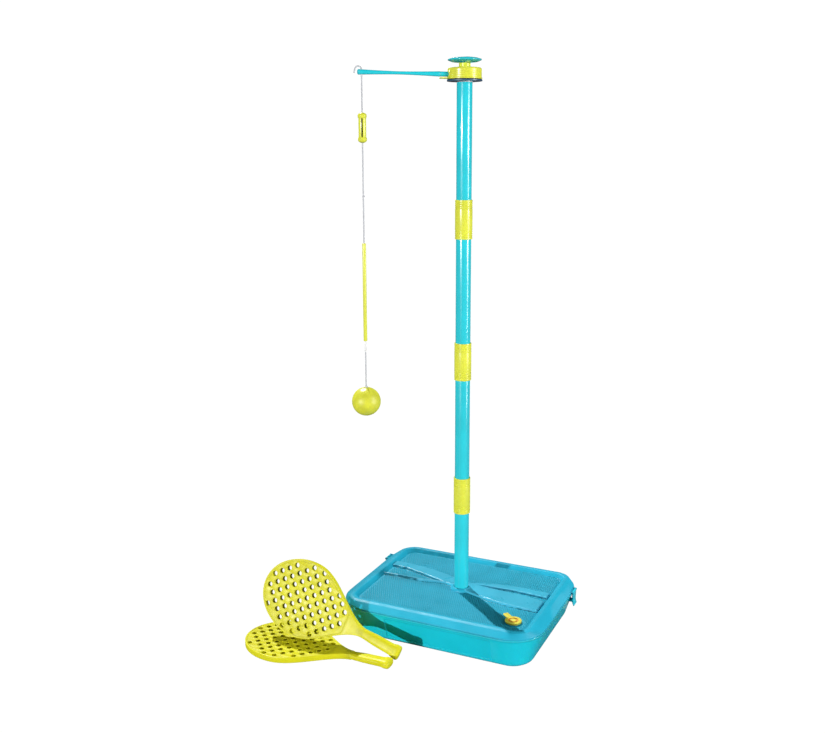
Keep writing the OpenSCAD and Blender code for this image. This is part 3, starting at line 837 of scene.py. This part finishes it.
def make_latch(name, side):
    """Barrel on the pin, blade down the wall with a rounded, flared finger tip, and the hook behind it."""
    pin_x, pin_z = latch_pivot()
    low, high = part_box(name)
    half = (high.y - low.y) / 2 / MM
    tip = low.z / MM - pin_z
    blade = arc((0, 0), 2.6, 180, 0, 12)
    blade += rounded([(2.5, -2, 0.5), (1.9, -16, 3), (1.9, -23, 4), (4.4, tip + 0.9, 1.0),
                      (2.5, tip - 0.1, 1.0), (-0.5, -24, 4), (-0.9, -16, 2), (-1.4, -3, 1.5)], closed=False)
    hook = rounded([(-0.5, -17, 0.3), (-3.2, -20, 0.8), (-3.2, -24.5, 1.0), (-0.5, -25.5, 0.3)])
    shape = Shape()
    place = Matrix.Translation((side * pin_x, (low.y + high.y) / 2 / MM, pin_z)) @ turned(90, "X")
    shape.plate([[(side * x, z) for x, z in blade][::side]], -half, half, 0.6, place)
    shape.plate([[(side * x, z) for x, z in hook][::side]], -half + 4.5, half - 4.5, 0.3, place)
    shape.piece(name + "_moulding", name, sharp=40)


def make_plug():
    """Cap with a sunk ring, skirt, and a pull tab on its rim."""
    place = moved(FILLER_X, FILLER_Y, 0)
    low_z, high_z = PANEL_Z + 1.5, PANEL_Z + 6
    shape = Shape()
    sunk_z, spigot_z = high_z - 2.3, low_z - 8.5
    section = rounded([
        (0.4, high_z, 0), (6, high_z, 0.6), (6.3, sunk_z, 0.6), (10.7, sunk_z, 0.6), (11, high_z, 0.6),
        (17.5, high_z, 1.6), (17.5, low_z, 0.8), (12.4, low_z, 0.3), (12.4, spigot_z, 0.8),
        (10.2, spigot_z, 0.5), (10.2, low_z, 0.3), (0.4, low_z, 0),
    ], closed=False)
    shape.lathe([(0.4, high_z), *section], place=place)
    tab_place = place @ turned(PLUG_TAB_TURN)
    tab = rounded([(13, -6, 0), (30.5, -6, 6), (36.5, -6, 6), (36.5, 6, 6), (30.5, 6, 6), (13, 6, 0)],
                  steps=8)
    shape.plate([tab], low_z + 1.1, low_z + 3.7, 0.7, tab_place)
    finger_ring = rounded([(3.2, low_z + 3.5, 0.2), (3.2, low_z + 4.3, 0.3), (2.2, low_z + 4.3, 0.3),
                           (2.2, low_z + 3.5, 0.2)], steps=2)
    shape.lathe(finger_ring, True, tab_place @ moved(31.0, 0, 0), 24)
    plug = shape.piece("filler_plug_moulding", "filler_plug", sharp=35)
    plug.data.materials.append(PLUG_CENTRE)
    for face in plug.data.polygons:
        centre = face.center / MM
        ring = math.hypot(centre.x - FILLER_X, centre.y - FILLER_Y)
        if 5.9 < ring < 11.1 and high_z - 2.6 < centre.z < high_z - 0.3:
            face.material_index = 1


# ---------- pole ----------

POLE_R, POLE_WALL, COLLAR_R = 16.0, 1.7, 18.25


def make_pole():
    for name in ("pole_bottom", "pole_lower", "pole_upper", "pole_top"):
        low, high = cad_z(name)
        shape = Shape()
        shape.tube(POLE_R, POLE_R - POLE_WALL, low, high, 0.5)
        shape.piece(name + "_tube", name)
    for name in ("collar_lower", "collar_middle", "collar_upper"):
        make_collar(name)


def make_collar(name):
    """Sleeve with four rounded grip grooves near each end."""
    low, high = cad_z(name)
    groove, deep, pitch, first = 1.9, 0.75, 4.2, 5.0
    outer = []
    for k in range(4):
        z = low + first + k * pitch
        outer += [(COLLAR_R, z - groove / 2, 0.4), (COLLAR_R - deep, z - groove / 4, 0.3),
                  (COLLAR_R - deep, z + groove / 4, 0.3), (COLLAR_R, z + groove / 2, 0.4)]
    mirror = [(r, low + high - z, f) for r, z, f in reversed(outer)]
    middle = (low + high) / 2
    bore = POLE_R - POLE_WALL
    inner = [(POLE_R + 0.3, high, 0.4), (POLE_R + 0.3, middle + 1.5, 0), (bore, middle + 1.5, 0),
             (bore, middle - 1.5, 0), (POLE_R, middle - 1.5, 0), (POLE_R, low, 0.4)]
    profile = [(COLLAR_R, low, 0.9), *outer, *mirror, (COLLAR_R, high, 0.9), *inner]
    shape = Shape()
    shape.lathe(rounded(profile, steps=3), True)
    shape.piece(name + "_moulding", name, sharp=50)


# ---------- head ----------

ARM_TURN = math.degrees(math.atan2(TETHER_Y, TETHER_X))
ARM_REACH = math.hypot(TETHER_X, TETHER_Y)
DRUM_R, NECK_R, BUSH_R, HUB_R = 34.5, 11.75, 8.5, 11.5
drum_z, neck_top = cad_z("head_drum")
DRUM_TOP = drum_z + 22
ARM_Z = drum_z + 9
ARM_ROOT = 36.0


def along_arm(distance, height=0.0):
    """Places a lathe's axis along the arm, from this distance out."""
    return turned(ARM_TURN) @ Matrix.Translation((distance, 0, height)) @ turned(90, "Y")


def make_drum():
    """Hollow drum with moulded rings, a neck, a shoulder round the arm's socket and the tongue below it."""
    shape = Shape()
    rings = []
    for k in range(3):
        z = drum_z + 6.2 + 3.4 * k
        rings += [(DRUM_R, z, 0.2), (DRUM_R - 0.45, z + 0.5, 0.2), (DRUM_R, z + 1.0, 0.2)]
    profile = [
        (BUSH_R, drum_z, 0.3), (HUB_R, drum_z, 0.3), (HUB_R, DRUM_TOP - 3, 1), (DRUM_R - 3, DRUM_TOP - 3, 2),
        (DRUM_R - 3, drum_z, 0.3), (DRUM_R + 1.2, drum_z, 0.5), (DRUM_R + 1.2, drum_z + 2.0, 0.6),
        (DRUM_R, drum_z + 3.0, 0.6), *rings, (DRUM_R, DRUM_TOP, 5.0), (NECK_R + 3.5, DRUM_TOP + 0.5, 1.0),
        (NECK_R, DRUM_TOP + 1.2, 1.2), (NECK_R, neck_top - 0.8, 0.4), (NECK_R - 0.8, neck_top, 0.3),
        (BUSH_R, neck_top, 0.2),
    ]
    shape.lathe(rounded(profile), True, sides=96)
    socket = []
    for share in [k / 10 for k in range(11)]:
        reach = 24 + (ARM_ROOT - 24) * share
        wide, high = 11.5 - 4.6 * share ** 1.5, 11.5 - 4.9 * share ** 1.3
        low = min(high, 8.6 - 2.0 * share)
        ring = []
        for k in range(32):
            t = 2 * math.pi * k / 32
            up = math.sin(t)
            ring.append((reach, wide * math.cos(t), ARM_Z + (high if up > 0 else low) * up))
        socket.append(ring)
    for inset, ahead in ((0.93, 0.5), (0.76, 0.65)):
        socket.append([(ARM_ROOT + ahead, y * inset, ARM_Z + (z - ARM_Z) * inset) for _, y, z in socket[10]])
    shape.loft(socket, place=turned(ARM_TURN))
    tongue = rounded([(30, -7, 0), (46.5, -7, 5), (53.5, -7, 6.5), (53.5, 7, 6.5), (46.5, 7, 5), (30, 7, 0)],
                     steps=8)
    shape.plate([tongue], drum_z, drum_z + 2.6, 0.6, turned(ARM_TURN))
    shape.piece("head_drum_moulding", "head_drum", sharp=40)


def cut_away(target, cutters):
    """Takes the cutters' volumes out of the target's mesh."""
    for cutter in cutters:
        cut = target.modifiers.new("cut", "BOOLEAN")
        cut.object = cutter
        cut.solver = "EXACT"
    bevel = target.modifiers.new("soft", "BEVEL")
    bevel.width = 0.5 * MM
    bevel.segments = 2
    bevel.angle_limit = math.radians(50)
    bpy.context.view_layer.update()
    made = bpy.data.meshes.new_from_object(target.evaluated_get(bpy.context.evaluated_depsgraph_get()))
    target.modifiers.clear()
    old = target.data
    target.data = made
    made.name = old.name
    bpy.data.meshes.remove(old)
    made.shade_smooth()
    made.set_sharp_from_angle(angle=math.radians(40))
    for cutter in cutters:
        bpy.data.objects.remove(cutter)


def solid(shape, name):
    """A plain helper object that isn't kept."""
    mesh = bpy.data.meshes.new(name)
    mesh.from_pydata([[c * MM for c in v] for v in shape.verts], [], shape.faces)
    bm = bmesh.new()
    bm.from_mesh(mesh)
    bmesh.ops.recalc_face_normals(bm, faces=bm.faces)
    bm.to_mesh(mesh)
    bm.free()
    made = bpy.data.objects.new(name, mesh)
    bpy.context.scene.collection.objects.link(made)
    return made


def make_knob():
    """Lens-shaped disc with three windows round its hub and a sunk screw."""
    low = cad_z("top_knob")[0]
    radius = 35.0
    profile = rounded([
        (6.1, low + 2.0, 0.2), (6.1, low, 0.3), (NECK_R, low, 0.3), (radius - 8, low + 1.8, 8),
        (radius, low + 5.0, 1.8), (radius - 1.5, low + 7.0, 1.6), (radius - 9, low + 9.2, 8),
        (radius / 2, low + 10.4, 8), (6.5, low + 11.0, 1.0), (5.5, low + 10.6, 0.6), (5.5, low + 7.4, 0.2),
        (2.1, low + 7.4, 0.1), (2.1, low + 2.0, 0.1),
    ])
    shape = Shape()
    shape.lathe(profile, True, sides=96)
    knob = shape.piece("top_knob_moulding", "top_knob")
    cutters = []
    for k in range(3):
        mid = ARM_TURN + 40 + 120 * k
        outer = arc((0, 0), 25.0, mid - 37, mid + 37, 10)
        inner = arc((0, 0), 12.5, mid + 30, mid - 30, 6)
        corners = {0: 3.0, 10: 3.0, 11: 2.0, 17: 2.0}
        outline = rounded([(x, y, corners.get(i, 0)) for i, (x, y) in enumerate(outer + inner)])
        window = Shape()
        window.loft([[(x, y, z) for x, y in outline] for z in (low - 5, low + 20)])
        cutters.append(solid(window, f"window_{k}"))
    cut_away(knob, cutters)


def make_arm():
    """Waisted arm with a shoulder, a spigot that enters the head and an eye for the cord at its tip."""
    root = ARM_ROOT
    length = ARM_REACH + 6 - root - 18
    shape = Shape()
    spigot = rounded([
        (0.2, 22, 0), (3.5, 22, 0.6), (3.5, root + 0.2, 0), (4.9, root + 0.2, 0.5),
        (4.9, root + 17.2, 0.5), (4.2, root + 17.6, 0.1), (4.2, root + 18.6, 0.1),
    ], closed=False)
    waist = []
    for k in range(33):
        share = k / 32
        waist.append((3.1 + 2.1 * abs(2 * share - 1) ** 1.6, root + 18.6 + (length - 0.6) * share))
    end = root + 18 + length
    tip = [(5.0, end + 0.9), (4.2, end + 1.7), (2.6, end + 2.1), (0.2, end + 2.2)]
    shape.lathe(spigot + waist + tip, place=along_arm(0, ARM_Z), sides=48)
    arm = shape.piece("arm_moulding", "arm")
    eye = Shape()
    eye.lathe([(1.7, ARM_Z - 12), (1.7, ARM_Z + 12)], place=moved(TETHER_X, TETHER_Y, 0), sides=24)
    cut_away(arm, [solid(eye, "eye")])


# ---------- tether ----------

ADJUSTER_TURN = -22


def make_tether():
    knot_low, knot_high = cad_z("tether_knot")
    knot("tether_knot_tied", "tether_knot", (TETHER_X, TETHER_Y, (knot_low + knot_high) / 2), 2.6)
    low, high = cad_z("grip_sleeve")
    sleeve = Shape()
    profile = [(3.8, low, 0.6), (3.8, high, 0.6), (1.8, high, 0.4), (1.8, low, 0.4)]
    sleeve.lathe(rounded(profile, steps=3), True, moved(TETHER_X, TETHER_Y, 0), 32)
    sleeve.piece("grip_sleeve_tube", "grip_sleeve")
    make_adjuster()
    make_ball()


def make_adjuster():
    """Barrel with two bulged ends and four long slots that show the rubber core; the slots are shaded by
    their depth, and the core's black adds painted shade inside them.
    """
    low, high = cad_z("adjuster_frame")
    place = moved(TETHER_X, TETHER_Y, 0)
    end = [(1.8, 0, 0.2), (3.2, 0, 0.5), (7.4, 2.0, 2.5), (9.2, 5.6, 1.6), (8.6, 7.8, 0.8), (9.0, 8.8, 0.6),
           (7.6, 10.8, 1.0), (3.2, 11.5, 0), (1.8, 11.5, 0)]
    shape = Shape()
    shape.lathe(rounded([(r, low + z, f) for r, z, f in end], steps=5), True, place, 48)
    shape.lathe(rounded([(r, high - z, f) for r, z, f in end], steps=5), True, place, 48)
    rib_out, rib_in, half_slot = 7.6, 3.3, 1.6
    for k in range(4):
        mid = ADJUSTER_TURN + 90 * k
        half = 45 - math.degrees(half_slot / rib_out)
        half_in = 45 - math.degrees(half_slot / rib_in)
        outline = arc((0, 0), rib_out, mid - half, mid + half, 10)
        outline += arc((0, 0), rib_in, mid + half_in, mid - half_in, 6)
        shape.plate([outline], low + 9, high - 9, 0.4, place)
    shape.piece("adjuster_barrel", "adjuster_frame", sharp=40)


def make_ball():
    low, high = cad_z("ball")
    radius = (high - low) / 2
    centre = moved(TETHER_X, TETHER_Y, (low + high) / 2)
    shape = Shape()
    profile = []
    for k in range(65):
        t = math.radians(-89.6 + 179.2 * k / 64)
        seam = 0.25 * math.exp(-(t / 0.02) ** 2)
        dimple = 0.8 * math.exp(-((math.pi / 2 - t) / 0.1) ** 2)
        profile.append(((radius - seam) * math.cos(t), (radius - seam) * math.sin(t) - dimple))
    shape.lathe(profile, place=centre @ turned(24, "X"), sides=96)
    shape.piece("ball_moulding", "ball", sharp=60)
    knot("ball_knot_tied", "ball_loop", (TETHER_X, TETHER_Y, high + 1.2), 2.5)


# ---------- bats ----------

BAT_L, BAT_HALF, BAT_TIP, BAT_NECK = 342.0, 82.5, 100.0, 152.0
NECK_HALF, RIM_W, RIM_T, WEB_T = 9.5, 5.0, 12.5, 11.5
HOLE_R, HOLE_STEP, FIRST_HOLE = 5.4, 13.0, 10.4
HEAD_U = BAT_L - BAT_TIP
# The handle: distance from the butt, half-width, half-thickness
HANDLE_STATIONS = [
    (0, 11.8, 5.6), (0.9, 13.8, 7.2), (3, 15.2, 8.5), (11, 15.4, 8.5), (14.5, 14.2, 8.1), (19, 12.7, 7.7),
    (26, 12.4, 7.6), (42, 12.3, 7.5), (60, 12.0, 7.4), (76, 10.9, 6.9), (92, 9.9, 6.3), (105, 9.4, 6.2),
]


def bat_half(u, inset):
    """Half-width of the bat at a distance u from its butt."""
    if u > HEAD_U:
        return (BAT_HALF - inset) * math.sqrt(max(0.0, 1 - ((u - HEAD_U) / (BAT_TIP - inset)) ** 2))
    swing = (1 + math.cos(math.pi * min(1.0, (HEAD_U - u) / BAT_NECK))) / 2
    return NECK_HALF - inset + (BAT_HALF - NECK_HALF) * swing ** 0.85


def bat_outline(start, inset, steps=36):
    side = [(start + (HEAD_U - start) * i / steps, bat_half(start + (HEAD_U - start) * i / steps, inset))
            for i in range(steps)]
    side += [(HEAD_U + (BAT_TIP - inset) * math.sin(t), (BAT_HALF - inset) * math.cos(t))
             for t in [math.pi / 2 * i / 40 for i in range(40)]]
    return side + [(BAT_L - inset, 0)] + [(u, -v) for u, v in reversed(side)]


def throat(points, radius):
    """Rounds the two corners where the face meets the handle."""
    made = [(x, y, 0) for x, y in points]
    made[0] = (*points[0], radius)
    made[-1] = (*points[-1], radius)
    return rounded(made)


def bat_holes(face_u):
    """Staggered rows of round holes; the rim cuts into the outermost ones."""
    holes = []
    margin = RIM_W + 3
    rows = math.ceil(BAT_HALF / HOLE_STEP)
    for j in range(-rows, rows + 1):
        for i in range(math.ceil(BAT_L / HOLE_STEP) + 1):
            u, v = face_u + FIRST_HOLE + i * HOLE_STEP, (j + 0.5) * HOLE_STEP
            if (i + j) % 2 == 0 and u < BAT_L - margin and abs(v) < bat_half(u, margin):
                holes.append([clamped(*point) for point in disc_outline(HOLE_R, 24, (u, v))])
    return holes


def clamped(u, v):
    """Keeps a hole's edge inside the rim."""
    inner = RIM_W + 0.3
    u = min(u, BAT_L - inner - 0.5)
    reach = bat_half(u, inner)
    return u, min(max(v, -reach), reach)


def make_bat(name, place):
    shape = Shape()
    neck_u = HEAD_U - BAT_NECK
    face_u = neck_u + 45
    face = throat(bat_outline(face_u, RIM_W), 6)
    shape.plate([bat_outline(neck_u - 2, 0), face], -RIM_T / 2, RIM_T / 2, 1.5, place)
    web = bat_outline(face_u - 3, RIM_W - 2.5)
    holes = bat_holes(face_u)
    shape.plate([web, *holes], -WEB_T / 2, WEB_T / 2, 0.9, place)
    for hole in holes:
        # A collar round each hole that the rim leaves whole
        u, v = (hole[0][0] + hole[12][0]) / 2, (hole[0][1] + hole[12][1]) / 2
        reach = min(bat_half(u - 7, RIM_W), bat_half(u + 7, RIM_W))
        if abs(v) + HOLE_R + 1.8 < reach and u < BAT_L - RIM_W - 9:
            shape.plate([disc_outline(HOLE_R + 1.2, 24, (u, v)), hole], -RIM_T / 2, RIM_T / 2, 0.4, place)
    handle = []
    for u, wide, high in HANDLE_STATIONS:
        ring = []
        for k in range(40):
            t = 2 * math.pi * k / 40
            c, s = math.cos(t), math.sin(t)
            ring.append((u, wide * math.copysign(abs(c) ** 0.6, c), high * math.copysign(abs(s) ** 0.7, s)))
        handle.append(ring)
    shape.loft(handle, place=place)
    shape.piece(name + "_moulding", name, sharp=38)


LOWER_BAT = moved(-51.5, -257, 8.6) @ turned(181) @ turned(0.37, "Y")
UPPER_BAT = moved(-46, -227, 17.1) @ turned(179.4) @ turned(-18.3, "Y") @ turned(-68.8, "X")


# ---------- the whole set ----------

def dress_cad_nodes():
    """CAD nodes whose shape is right keep it, and take their slot's material."""
    for name, made in frame["nodes"].items():
        if made.hide_render:
            continue
        made.data.materials.clear()
        made.data.materials.append(LOOKS[NODE_SLOT[name]])


make_tub()
make_lid()
make_latch("latch_right", 1)
make_latch("latch_left", -1)
make_plug()
make_pole()
make_drum()
make_knob()
make_arm()
make_tether()
make_bat("bat_lower", LOWER_BAT)
make_bat("bat_upper", UPPER_BAT)
dress_cad_nodes()

bpy.context.scene.view_settings.view_transform = "Standard"
